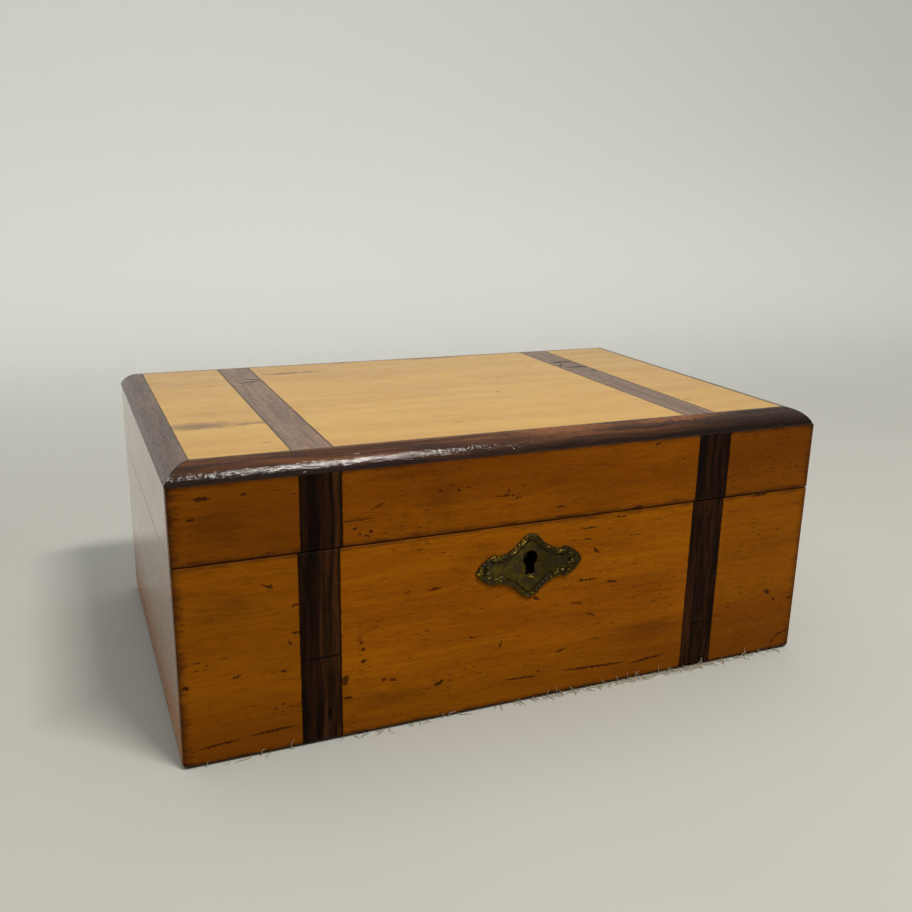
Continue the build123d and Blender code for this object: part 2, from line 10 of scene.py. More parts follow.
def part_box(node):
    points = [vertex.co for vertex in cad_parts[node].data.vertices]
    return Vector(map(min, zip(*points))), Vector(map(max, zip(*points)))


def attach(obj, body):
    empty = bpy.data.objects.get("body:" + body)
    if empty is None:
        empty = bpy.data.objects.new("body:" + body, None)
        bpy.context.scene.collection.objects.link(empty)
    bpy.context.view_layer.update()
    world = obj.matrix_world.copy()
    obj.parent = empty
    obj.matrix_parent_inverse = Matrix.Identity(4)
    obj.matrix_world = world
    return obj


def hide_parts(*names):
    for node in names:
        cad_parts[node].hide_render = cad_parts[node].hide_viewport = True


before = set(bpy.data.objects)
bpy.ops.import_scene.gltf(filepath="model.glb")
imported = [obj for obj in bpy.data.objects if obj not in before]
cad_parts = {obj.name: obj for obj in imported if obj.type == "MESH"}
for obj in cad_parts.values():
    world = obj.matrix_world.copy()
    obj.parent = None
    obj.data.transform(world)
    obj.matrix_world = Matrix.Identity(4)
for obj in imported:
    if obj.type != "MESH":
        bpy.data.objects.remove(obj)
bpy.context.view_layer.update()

MM = 0.001
X, Y, Z = range(3)


# ---------------------------------------------------------------- materials

def paint(red, green, blue):
    """A colour as a screen shows it, 0 to 255, as the linear numbers that a shader takes."""
    return tuple(((part / 255 + 0.055) / 1.055) ** 2.4 for part in (red, green, blue))


def toned(colour, share):
    """The colour made darker, by a share below 1, or lighter."""
    return tuple(part * share for part in colour)


dirt = paint(44, 22, 9)
# painted shade for the inside of the keyhole
hole_shade_black = paint(4, 3, 2)
crack_black = paint(10, 7, 6)
joint_black = paint(12, 8, 6)
# pale grey of dust, and of painted sheen on dark wood
dust_and_sheen_grey = paint(150, 132, 118)
bloom = paint(176, 96, 88)


class Tree:
    """The nodes of a material or of the world."""

    def __init__(self, tree):
        self.nodes = tree.nodes
        self.links = tree.links

    def add(self, kind, values=(), **settings):
        """A node with those values, or other nodes' sockets, on its inputs in their order."""
        node = self.nodes.new(kind)
        for setting, value in settings.items():
            setattr(node, setting, value)
        for socket, value in zip(node.inputs, values):
            self.feed(socket, value)
        return node

    def feed(self, socket, value):
        if isinstance(value, bpy.types.NodeSocket):
            self.links.new(value, socket)
        elif value is not None and socket.type == "RGBA":
            socket.default_value = (*value, 1)
        elif value is not None:
            socket.default_value = value

    def fill(self, node, **values):
        """Feeds a node's inputs by their names, and returns the node."""
        for name, value in values.items():
            self.feed(node.inputs[name.replace("_", " ")], value)
        return node

    def math(self, operation, first, second=None, third=None):
        return self.add("ShaderNodeMath", [first, second, third], operation=operation).outputs[0]

    def between(self, value, low, high, start=0.0, end=1.0):
        """start at low and end at high, with a smooth turn between them."""
        node = self.add("ShaderNodeMapRange", [value, low, high, start, end], interpolation_type="SMOOTHSTEP")
        return node.outputs[0]


class Graph(Tree):
    """One material's nodes. Every length in its patterns is in millimetres."""

    def __init__(self, name):
        self.material = bpy.data.materials.new(name)
        self.material.use_nodes = True
        super().__init__(self.material.node_tree)
        self.shader = self.nodes["Principled BSDF"]
        self.place = self.scaled(self.add("ShaderNodeTexCoord").outputs["Object"], (1 / MM,) * 3)
        parts = self.add("ShaderNodeSeparateXYZ", [self.place])
        self.axes = [parts.outputs[axis] for axis in (X, Y, Z)]

    def vector_math(self, operation, first, second=None):
        node = self.add("ShaderNodeVectorMath", [first, second], operation=operation)
        return node.outputs["Value" if operation == "LENGTH" else "Vector"]

    def scaled(self, vector, factors):
        return self.vector_math("MULTIPLY", vector, factors)

    def stretched(self, axis, length, width, vector=None):
        """The place, so scaled that a pattern of size 1 is this long along an axis and this wide."""
        factors = [1 / width] * 3
        factors[axis] = 1 / length
        return self.scaled(vector or self.place, factors)

    def even(self, scale):
        """The place, scaled alike along every axis."""
        return self.scaled(self.place, (scale,) * 3)

    def noise(self, vector, detail=2.0, roughness=0.5):
        node = self.add("ShaderNodeTexNoise")
        return self.fill(node, Vector=vector, Scale=1, Detail=detail, Roughness=roughness).outputs[0]

    def blotches(self, scale, **settings):
        """Noise whose blotches are about 1 / scale millimetres across."""
        return self.noise(self.even(scale), **settings)

    def bent(self, grain, length, width, reach):
        """The place, moved sideways from its grain by up to that reach in waves of that length and width."""
        wander = self.noise(self.stretched(grain, length, width))
        shift = self.add("ShaderNodeCombineXYZ", [wander] * 3).outputs[0]
        sideways = tuple(0 if axis == grain else reach for axis in (X, Y, Z))
        return self.vector_math("ADD", self.place, self.scaled(shift, sideways))

    def cells(self, vector, feature="F1"):
        return self.fill(self.add("ShaderNodeTexVoronoi", feature=feature), Vector=vector, Scale=1)

    def most(self, *values):
        return reduce(lambda first, second: self.math("MAXIMUM", first, second), values)

    def product(self, *values):
        return reduce(lambda first, second: self.math("MULTIPLY", first, second), values)

    def sum(self, *terms):
        """The sum of (value, factor) pairs."""
        found = 0.0
        for value, factor in terms:
            found = self.math("MULTIPLY_ADD", value, factor, found)
        return found

    def mix(self, amount, first, second):
        others = [None] * 5
        return self.add("ShaderNodeMix", [amount, *others, first, second], data_type="RGBA").outputs[2]

    def centred(self, value, reach):
        """A value about a half, turned into one about 0 that goes half a reach each way."""
        return self.math("MULTIPLY", self.math("SUBTRACT", value, 0.5), reach)

    def distance(self, axis, at):
        return self.math("ABSOLUTE", self.math("SUBTRACT", self.axes[axis], at))

    def near(self, axis, at, reach, wander):
        """1 at a place along an axis, fading to 0 a reach away on both sides."""
        return self.between(self.math("ADD", self.distance(axis, at), wander), reach, reach * 0.35)

    def shaded(self, colour, shades, dark):
        """The colour, darkened from one place to another by each of (axis, from, to, amount)."""
        for axis, start, end, amount in shades:
            colour = self.mix(self.between(self.axes[axis], start, end, 0.0, amount), colour, dark)
        return colour

    def specks(self, axis, length, width, share, size=0.42):
        """Short dark strokes along an axis: that share of all the cells has one."""
        node = self.cells(self.stretched(axis, length, width))
        parts = self.add("ShaderNodeSeparateColor", [node.outputs["Color"]])
        chosen = self.between(parts.outputs[0], 1 - share, 1 - share + 0.02)
        spread = self.math("MULTIPLY", parts.outputs[1], parts.outputs[1])
        reach = self.math("MULTIPLY_ADD", spread, size * 0.85, size * 0.15)
        inside = self.math("SUBTRACT", reach, node.outputs["Distance"])
        return self.product(self.between(inside, 0.0, size * 0.2), chosen)

    def marks(self, flat, spots, soft=0.3):
        """1 inside any spot of (across, up, length, width, degrees), and 0 outside them all."""
        nearest = None
        for across, up, length, width, degrees in spots:
            node = self.add("ShaderNodeMapping", [flat], vector_type="TEXTURE")
            self.fill(node, Location=(across, up, 0), Rotation=(0, 0, math.radians(degrees)),
                      Scale=(length / 2, width / 2, 1))
            distance = self.vector_math("LENGTH", node.outputs[0])
            nearest = distance if nearest is None else self.math("MINIMUM", nearest, distance)
        return self.between(nearest, 1 + soft, 1 - soft)

    def flat(self, across, up, ragged=0.5, grit=1.1):
        """Two axes as a plane, whose marks get edges that are ragged by about that many millimetres.
        grit is how fine the rags are."""
        node = self.add("ShaderNodeCombineXYZ", [self.axes[across], self.axes[up], 0.0])
        jitter = self.fill(self.add("ShaderNodeTexNoise"), Vector=self.even(grit), Scale=1)
        shift = self.scaled(self.vector_math("SUBTRACT", jitter.outputs[1], (0.5, 0.5, 0.5)),
                            (ragged * 4, ragged * 4, 0))
        return self.vector_math("ADD", node.outputs[0], shift)

    def bump(self, height, depth):
        """Gives the shader a relief that many millimetres deep."""
        node = self.fill(self.add("ShaderNodeBump"), Strength=1, Distance=depth * MM, Height=height)
        self.fill(self.shader, Normal=node.outputs[0], Coat_Normal=node.outputs[0])

    def finish(self, colour, roughness, metallic=0.0, coat=0.0, coat_roughness=0.1, **fixed):
        self.fill(self.shader, Base_Color=colour, Roughness=roughness, Metallic=metallic, Coat_Weight=coat,
                  Coat_Roughness=coat_roughness, **fixed)
        return self.material


def dents(graph, grain, face, spots, busy, flecks, skin):
    """How hurt the surface looks, and how deep it is dented."""
    small = graph.most(graph.specks(grain, 3.4, 0.5, 0.24 * flecks),
                       graph.specks(grain, 8.0, 1.2, 0.1 * flecks, size=0.4),
                       graph.specks(grain, 17.0, 0.9, 0.06 * flecks, size=0.4))
    gathered = graph.noise(graph.scaled(graph.place, (0.05, 0.09, 0.09)), detail=4)
    gathered = graph.between(gathered, 0.47, 0.6)
    dented = graph.product(small, gathered)
    if busy:
        crowded = graph.marks(graph.flat(*face, ragged=2.0, grit=0.22), busy, soft=0.8)
        gathered = graph.most(gathered, crowded)
    hurt = graph.product(small, graph.between(gathered, 0.0, 1.0, 0.12, 0.9))
    if spots:
        hurt = graph.most(hurt, graph.product(graph.marks(graph.flat(*face), spots), skin))
    return hurt, dented


def grime(graph, colour, grain, edges, skin):
    """The colour, dirtied along each edge of (axis, place, reach, strength), and less so inside."""
    grubby = graph.noise(graph.stretched(grain, 9, 2.2), detail=4, roughness=0.7)
    shown = graph.between(skin, 0.0, 1.0, 0.4, 1.0)
    for axis, at, reach, strength in edges:
        fade = graph.math("DIVIDE", graph.distance(axis, at), reach)
        fade = graph.math("MULTIPLY_ADD", grubby, 1.6, graph.math("SUBTRACT", 0.0, fade))
        colour = graph.mix(graph.product(graph.between(fade, 0.0, 0.9), strength, shown), colour, dirt)
    return colour


def pale_wood(name, grain, face, light, deep, spots=(), patches=(), busy=(), lines=(), edges=(), shades=(),
              hole=(), flecks=1.0, contrast=1.0, soil=0.25, soiled=None, gloss=0.4, coat=0.0, shine=0.03,
              relief=0.15, outside=None, rubbed=None):
    """Fine-grained varnished wood. face is the two axes of its show side. On it lie the spots, which are
    small dark marks, the soft dirty patches and the busy places, where the flecks stand closer. lines are
    dark joints (axis, place), edges are as in grime, shades as in Graph.shaded, and hole is painted black as
    the shade in a keyhole. outside is (axis, from, to), where the show side starts, and rubbed is (axis,
    from, to), the places between which the varnish goes from worn to whole."""
    graph = Graph(name)
    skin = graph.between(graph.axes[outside[0]], *outside[1:]) if outside else 1.0
    bent = graph.bent(grain, 70, 22, 9)
    tone = graph.noise(graph.stretched(grain, 110, 15, bent), detail=3)
    figure = graph.noise(graph.stretched(grain, 38, 1.9, bent), detail=3, roughness=0.6)
    fibre = graph.noise(graph.stretched(grain, 5, 0.42, bent), roughness=0.6)
    cloud = graph.blotches(0.05, detail=3)
    ragged = graph.blotches(0.35, detail=4, roughness=0.65)
    worn = graph.blotches(0.12, detail=4)

    darker = toned(deep, 0.42)
    shade = graph.sum((graph.between(figure, 0.35, 0.72), 0.24 * contrast),
                      (graph.between(fibre, 0.42, 0.7), 0.32 * contrast),
                      (graph.between(cloud, 0.45, 0.75), 0.12 * contrast))
    colour = graph.mix(graph.between(tone, 0.33, 0.68), light, deep)
    colour = graph.shaded(graph.mix(shade, colour, darker), shades, darker)

    hurt, dented = dents(graph, grain, face, spots, busy, flecks, skin)
    colour = graph.mix(graph.product(hurt, 0.86), colour, dirt)
    if patches:
        soft = graph.marks(graph.flat(*face, ragged=1.6, grit=0.22), patches, soft=0.75)
        streaky = graph.between(figure, 0.25, 0.6, 0.6, 1.0)
        colour = graph.mix(graph.product(soft, streaky, skin, soil), colour, soiled or dirt)
    colour = grime(graph, colour, grain, edges, skin)
    if lines:
        wobble = graph.centred(ragged, 0.7)
        joint = graph.most(*(graph.near(axis, at, 0.62, wobble) for axis, at in lines))
        joint = graph.product(joint, skin)
        colour = graph.mix(graph.product(joint, 0.9), colour, toned(dirt, 0.3))
        hurt = graph.most(hurt, joint)
        dented = graph.most(dented, joint)
    # painted shade: the keyhole's hole painted black
    if hole:
        colour = graph.mix(graph.marks(graph.flat(*face, ragged=0), hole), colour, hole_shade_black)

    roughness = graph.sum((worn, 0.2), (hurt, 0.3), (figure, 0.08))
    roughness = graph.math("ADD", roughness, gloss - 0.13)
    graph.bump(graph.sum((figure, 0.25), (fibre, 0.3), (dented, -0.9), (worn, 0.5)), relief)
    graph.finish(colour, roughness, coat=coat, coat_roughness=0.12, Specular_IOR_Level=shine)
    if rubbed:
        axis, start, end = rubbed
        height = graph.math("ADD", graph.axes[axis], graph.centred(ragged, 14))
        whole = graph.product(graph.between(height, start, end, 0.15, 1.0), skin)
        graph.fill(graph.shader, Coat_Weight=graph.product(whole, coat),
                   Specular_IOR_Level=graph.product(whole, shine))
    return graph.material


def mitre_lines(graph, wobble):
    """1 on the joints where the mouldings meet at the lid's corners."""
    inward = []
    for axis, low, high in ((X, "left_moulding", "right_moulding"), (Y, "front_moulding", "back_moulding")):
        from_low = graph.math("SUBTRACT", graph.axes[axis], corner(low, 0, axis))
        from_high = graph.math("SUBTRACT", corner(high, 1, axis), graph.axes[axis])
        inward.append(graph.math("MINIMUM", from_low, from_high))
    off = graph.math("ABSOLUTE", graph.math("SUBTRACT", *inward))
    return graph.between(graph.math("ADD", off, wobble), 0.62, 0.2)


def dark_wood(name, grain, light, deep, split=None, cracks=(), face=(X, Z), lines=(), worn=None, gloss=0.42,
              coat=0.0, coat_roughness=0.12, depth=0.2, lustre=0.0, shine=0.03, foot=None, mitred=False,
              shades=()):
    """Open-grained dark wood. split is (across, along, place, lean): darker to the low side of a slanting
    line. cracks are spots on the face, and worn is a lighter patch of the same kind. foot is (low, high), the
    heights between which it goes from black to its own colour, a painted shade on its lower part, mitred
    draws the joints at the lid's corners, lustre is how much pale grey of dust and painted sheen lies over
    it, and shades are as in Graph.shaded."""
    graph = Graph(name)
    bent = graph.bent(grain, 45, 14, 7)
    figure = graph.noise(graph.stretched(grain, 60, 2.6, bent), detail=3, roughness=0.6)
    fibre = graph.noise(graph.stretched(grain, 9, 0.4, bent), roughness=0.65)
    pores = graph.specks(grain, 4.2, 0.55, 0.34, size=0.4)
    ragged = graph.blotches(0.4, detail=3)
    wobble = graph.centred(ragged, 0.5)
    black = toned(deep, 0.22)

    colour = graph.mix(graph.between(figure, 0.36, 0.66), deep, light)
    colour = graph.mix(graph.product(graph.between(fibre, 0.35, 0.7), 0.55), colour, deep)
    colour = graph.shaded(colour, shades, black)
    if split:
        across, along, place, lean = split
        edge = graph.math("MULTIPLY_ADD", graph.axes[along], lean, graph.axes[across])
        edge = graph.math("ADD", edge, graph.centred(figure, 2.5))
        colour = graph.mix(graph.between(edge, place + 0.5, place - 0.5, 0.0, 0.6), colour, black)
    if worn:
        patch = graph.marks(graph.flat(*face, ragged=1.4, grit=0.3), worn, soft=0.7)
        colour = graph.mix(graph.product(patch, 0.6), colour, toned(light, 1.9))
    colour = graph.mix(graph.product(pores, 0.8), colour, black)
    hurt = pores
    if cracks:
        cut = graph.marks(graph.flat(*face, ragged=0.45), cracks)
        colour = graph.mix(cut, colour, crack_black)
        hurt = graph.most(hurt, graph.product(cut, 2.0))
    for axis, at in lines:
        colour = graph.mix(graph.near(axis, at, 0.5, wobble), colour, joint_black)
    # painted shade: the moulding turns black low down
    if foot:
        low, high = foot
        height = graph.math("ADD", graph.axes[Z], graph.centred(figure, 3.0))
        colour = graph.mix(graph.between(height, high, low, 0.0, 0.85), colour, black)
    if mitred:
        colour = graph.mix(mitre_lines(graph, wobble), colour, joint_black)
    # dust, and painted sheen: a pale grey laid over the wood as far as lustre asks
    dust = graph.between(ragged, 0.5, 0.78)
    colour = graph.mix(graph.product(dust, lustre), colour, dust_and_sheen_grey)

    roughness = graph.sum((ragged, 0.3), (hurt, 0.2), (dust, 0.1))
    roughness = graph.math("ADD", roughness, gloss - 0.15)
    graph.bump(graph.sum((figure, 0.3), (fibre, 0.4), (hurt, -0.7), (ragged, 0.8)), depth)
    return graph.finish(colour, roughness, coat=coat, coat_roughness=coat_roughness, Specular_IOR_Level=shine)


def metal(name, light, deep, roughness, tarnish=0.5, scale=0.5, depth=0.08, brushed=None, rubbed=None,
          spots=(), shades=()):
    """Old metal: light where it is clean and deep where it has tarnished. rubbed is (axis, low, high,
    colour), the places between which a relief goes from its tarnish to bright high spots of that colour, and
    spots are where it is bright in any case: rubbed patches, and painted glints. The hollows of such a relief
    are dark. brushed is the axis of its brush marks, and shades are as in Graph.shaded."""
    graph = Graph(name)
    blotch = graph.blotches(scale, detail=5, roughness=0.62)
    fine = graph.blotches(scale * 9, detail=3)
    pits = graph.between(graph.cells(graph.even(2.4)).outputs["Distance"], 0.34, 0.12)
    clean = 0.62 - tarnish * 0.35
    amount = graph.between(graph.sum((blotch, 0.8), (fine, 0.2)), clean, clean + 0.23)
    black = toned(deep, 0.4)
    colour = graph.shaded(graph.mix(amount, light, deep), shades, black)
    dull = amount
    if rubbed:
        axis, low, high, bright = rubbed
        patchy = graph.blotches(0.34)
        high_spots = graph.product(graph.between(graph.axes[axis], low, high),
                                   graph.between(patchy, 0.56, 0.66), graph.between(fine, 0.4, 0.58))
        # spots hold rubbed bright patches and painted glints
        if spots:
            bare_and_glints = graph.marks(graph.flat(X, Z), spots)
            high_spots = graph.most(high_spots, graph.product(bare_and_glints, graph.between(fine, 0.3, 0.5)))
        colour = graph.mix(high_spots, colour, bright)
        dull = graph.math("SUBTRACT", amount, graph.product(high_spots, 0.8))
        hollow = graph.between(graph.axes[axis], low + 0.5, low + 0.75)
        colour = graph.mix(graph.product(hollow, 0.85), colour, toned(deep, 0.25))
    colour = graph.mix(graph.product(pits, 0.35), colour, black)
    height = graph.sum((blotch, 0.5), (fine, 0.35), (pits, -0.3))
    if brushed is not None:
        lines = graph.noise(graph.stretched(brushed, 14, 0.16))
        height = graph.sum((height, 1.0), (lines, 0.5))
    graph.bump(height, depth)
    finish = graph.sum((dull, 0.3), (fine, 0.14))
    return graph.finish(colour, graph.math("ADD", finish, roughness - 0.07),
                        metallic=graph.between(dull, 0.35, 1.1, 1.0, 0.55))


def woven(name, thread, gap, pitch, fuzz, tired=None, sheen=0.3):
    """Cloth with a plain weave of that pitch, matted by fuzz, and faded patches of the tired colour."""
    graph = Graph(name)
    warp, weft = (graph.math("SINE", graph.math("MULTIPLY", graph.axes[axis], math.tau / pitch))
                  for axis in (X, Y))
    weave = graph.sum((graph.product(warp, weft), 0.25), (graph.math("ABSOLUTE", warp), 0.4),
                      (graph.math("ABSOLUTE", weft), 0.35))
    hair = graph.blotches(2.6, detail=5, roughness=0.7)
    cloud = graph.blotches(0.06, detail=4)
    body = graph.sum((weave, 1 - fuzz), (hair, fuzz))
    colour = graph.mix(graph.between(body, 0.2, 0.75), gap, thread)
    if tired:
        colour = graph.mix(graph.between(cloud, 0.48, 0.7, 0.0, 0.7), colour, tired)
    graph.bump(body, pitch * 0.5)
    return graph.finish(colour, graph.between(hair, 0.2, 0.8, 0.75, 0.98), Sheen_Weight=sheen,
                        Sheen_Roughness=0.4, Specular_IOR_Level=0.2)


def velvet(name, light, deep, crease=None):
    """Short pile that leans a little this way and that. crease is (from, to), the heights between which a
    padded surface goes from its crests to the bottom of its folds, painted dark as shade."""
    graph = Graph(name)
    lean = graph.blotches(0.06)
    pile = graph.blotches(5)
    worn = graph.blotches(0.3, detail=4, roughness=0.65)
    colour = graph.mix(graph.between(lean, 0.3, 0.7, 0.1, 0.75), deep, light)
    colour = graph.mix(graph.between(pile, 0.3, 0.8, 0.0, 0.35), colour, toned(deep, 0.4))
    # painted shade in the folds
    if crease:
        colour = graph.mix(graph.between(graph.axes[Z], *crease, 0.0, 0.85), colour, toned(deep, 0.2))
    colour = graph.mix(graph.between(worn, 0.56, 0.76, 0.0, 0.3), colour, bloom)
    graph.bump(graph.sum((lean, 0.4), (pile, 0.5)), 0.25)
    return graph.finish(colour, graph.between(pile, 0.2, 0.8, 0.7, 0.95), Sheen_Weight=0.35,
                        Sheen_Roughness=0.35, Sheen_Tint=light, Specular_IOR_Level=0.15)


def foil(name):
    """Beaten tin and lead sheet, with creases and grey tarnish."""
    graph = Graph(name)
    crease = graph.cells(graph.even(0.12), feature="DISTANCE_TO_EDGE")
    dent = graph.blotches(0.22, detail=5, roughness=0.6)
    ridge = graph.between(crease.outputs["Distance"], 0.0, 0.16)
    tarnish = graph.between(dent, 0.42, 0.7)
    colour = graph.mix(tarnish, paint(176, 174, 168), paint(98, 94, 86))
    # painted shade along the creases
    colour = graph.mix(graph.between(ridge, 0.0, 1.0, 0.35, 0.0), colour, paint(60, 56, 50))
    graph.bump(graph.sum((ridge, 0.7), (dent, 1.3)), 0.7)
    return graph.finish(colour, graph.between(dent, 0.3, 0.75, 0.26, 0.5), metallic=0.92)


# ------------------------------------------------------ places from the frame

def corner(node, side, axis):
    """A node's lowest (0) or highest (1) place along an axis, in millimetres."""
    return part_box(node)[side][axis] / MM


def both(*names):
    return [f"{side}_{name}" for name in names for side in ("left", "right")]


def sides(*nodes):
    """The left and the right side of each node, as (axis, place)."""
    return [(X, corner(node, side, X)) for node in nodes for side in (0, 1)]


def box(node):
    """A node's lowest and highest corners, in millimetres."""
    low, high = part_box(node)
    return low / MM, high / MM


front_y = corner("front_board", 0, Y)
left_x = corner("left_board", 0, X)
right_x = corner("right_board", 1, X)
body_low = corner("front_board", 0, Z)
body_high = corner("front_board", 1, Z)
lid_low = corner("lid_front_board", 0, Z)
moulding_low = corner("front_moulding", 0, Z)
moulding_back = corner("front_moulding", 1, Y)
top_z = corner("lid_top_board", 1, Z)
pad_low = corner("lid_lining_pad", 0, Z)
inlay = 1.5                                # how deep the bands are let in
fade = 0.2                                 # how soon a board's show side ends below them

front_skin = (Y, front_y + inlay + fade, front_y + inlay)
back_skin = (Y, -front_y - inlay - fade, -front_y - inlay)

honey = paint(160, 92, 4)
amber = paint(142, 76, 2)
lid_honey = paint(142, 78, 2)
lid_amber = paint(125, 65, 1)
rosewood = paint(72, 41, 19)
rosewood_deep = paint(26, 14, 6)

body_marks = [
    (-71, 40.1, 1.6, 1.2, 0), (-70.4, 37.1, 1.5, 1.1, 0), (-70.5, 32, 2, 1.5, -10), (-77.6, 25, 4, 2.6, 80),
    (-76.8, 17.4, 3.8, 1.2, -12), (-41.2, 57.6, 6.3, 0.7, 7), (3.8, 46.6, 3, 1.4, -28),
    (-12, 28.6, 3.4, 0.8, 72), (-62.2, 22.4, 1.8, 1.4, 18), (-58.2, 21.6, 2.8, 0.9, -11),
    (-38.8, 16.4, 4.8, 1.6, 18), (-2, 11.4, 14.5, 0.8, -3), (-24.3, 34, 3.5, 0.7, 4),
    (-52.4, 58, 2.4, 0.8, 34), (-126.3, 8.1, 15.2, 0.8, 5), (-106.2, 9.6, 17, 1, 2),
    (-96.3, 59.7, 3, 0.9, 0), (-96.6, 48.6, 3.5, 0.9, -3), (-98.6, 45, 1.9, 1, -69),
    (-106.6, 68.6, 5, 0.9, -30), (-105.8, 68.4, 2.4, 0.8, 20), (-137, 33.6, 2, 1.8, 0),
    (-101.6, 33.8, 3.1, 0.8, 0), (-118.8, 34.7, 3.9, 0.8, 10), (-102, 20, 1.2, 1.1, 0),
    (-105, 18.5, 1.2, 1, 0), (33.8, 10, 29.5, 1, -3), (60, 8.7, 17.6, 1, 4), (27, 74.5, 8, 0.7, -4),
    (26.5, 69.6, 3.8, 0.7, -7), (30.9, 63.9, 3.9, 1.1, -45), (42.1, 77.6, 4.7, 0.7, -1),
    (27.2, 51.4, 9.8, 0.8, -1), (39.5, 48.8, 5.9, 1.1, -11), (23.1, 41.3, 6, 0.8, -17),
    (30.2, 35, 4.9, 0.8, -23), (15.9, 20.7, 5.1, 0.8, 8), (129.7, 5.2, 3.8, 0.9, 52),
    (132.5, 7.8, 4.4, 0.9, 33), (136.7, 9.1, 5.2, 0.9, 5), (123.4, 31, 3.6, 1.9, -43),
    (127.6, 26.6, 2, 1.2, -43), (136.7, 26.2, 2.9, 1, 11), (113.2, 79, 7.8, 1, 3),
]
lid_marks = [
    (-62.6, 95.4, 2.4, 0.7, 13), (-64.8, 94, 5.5, 0.5, 20), (-72.3, 89.8, 11.6, 0.6, 2),
    (-73.1, 86.5, 1.5, 1.2, 0), (-67, 84.9, 1.7, 1.1, 20), (-68.4, 83.2, 2.2, 1.1, -10),
    (-71.5, 84.3, 1.6, 0.9, 0), (-39.7, 97.7, 1.4, 1.1, 0), (-31.7, 97, 1.9, 1, -6),
    (13.1, 85.3, 4.6, 0.8, -3), (-6.1, 91.1, 3.1, 0.7, 8), (-11, 92.6, 12, 0.5, 0), (-10.6, 94, 0.6, 3, 0),
    (57.7, 107.5, 2.7, 1.1, 20), (-127.9, 104.3, 6.1, 1.5, 0), (-113.5, 104.4, 2.1, 1, 4),
    (-132, 97, 3, 0.9, 12), (50, 80.6, 5, 1.4, 0),
]
top_marks = [
    (-73, 63, 5, 0.7, 8), (-30, 79, 9, 1.2, 0), (-22, 81, 6, 1.4, 10), (-20, -60, 4, 0.6, 0),
    (35, 20, 5, 0.6, 4), (-100, -66, 5, 0.6, 0), (20, -12, 3, 0.8, 30), (62, 40, 4, 0.7, 0),
]


def board_edges(low, high):
    """Where hands, dust and polish have darkened a front or back board."""
    return [(X, left_x, 6, 0.85), (X, right_x, 6, 0.75), (Z, low, 3.4, 0.8), (Z, high, 2.4, 0.65)]


def side_wood(name, skin):
    """The ends of the box: glossy on the outside, and bare on the rims and inside."""
    return pale_wood(
        name, Y, (Y, Z), paint(184, 112, 18), paint(164, 94, 12), gloss=0.24, coat=0.9, shine=0.5,
        relief=0.05, rubbed=(Z, 5, 46), outside=skin,
        edges=[(Y, front_y, 5, 0.75), (Y, -front_y, 5, 0.75), (Z, body_low, 3.2, 0.8),
               (Z, body_high, 2.6, 0.85)])


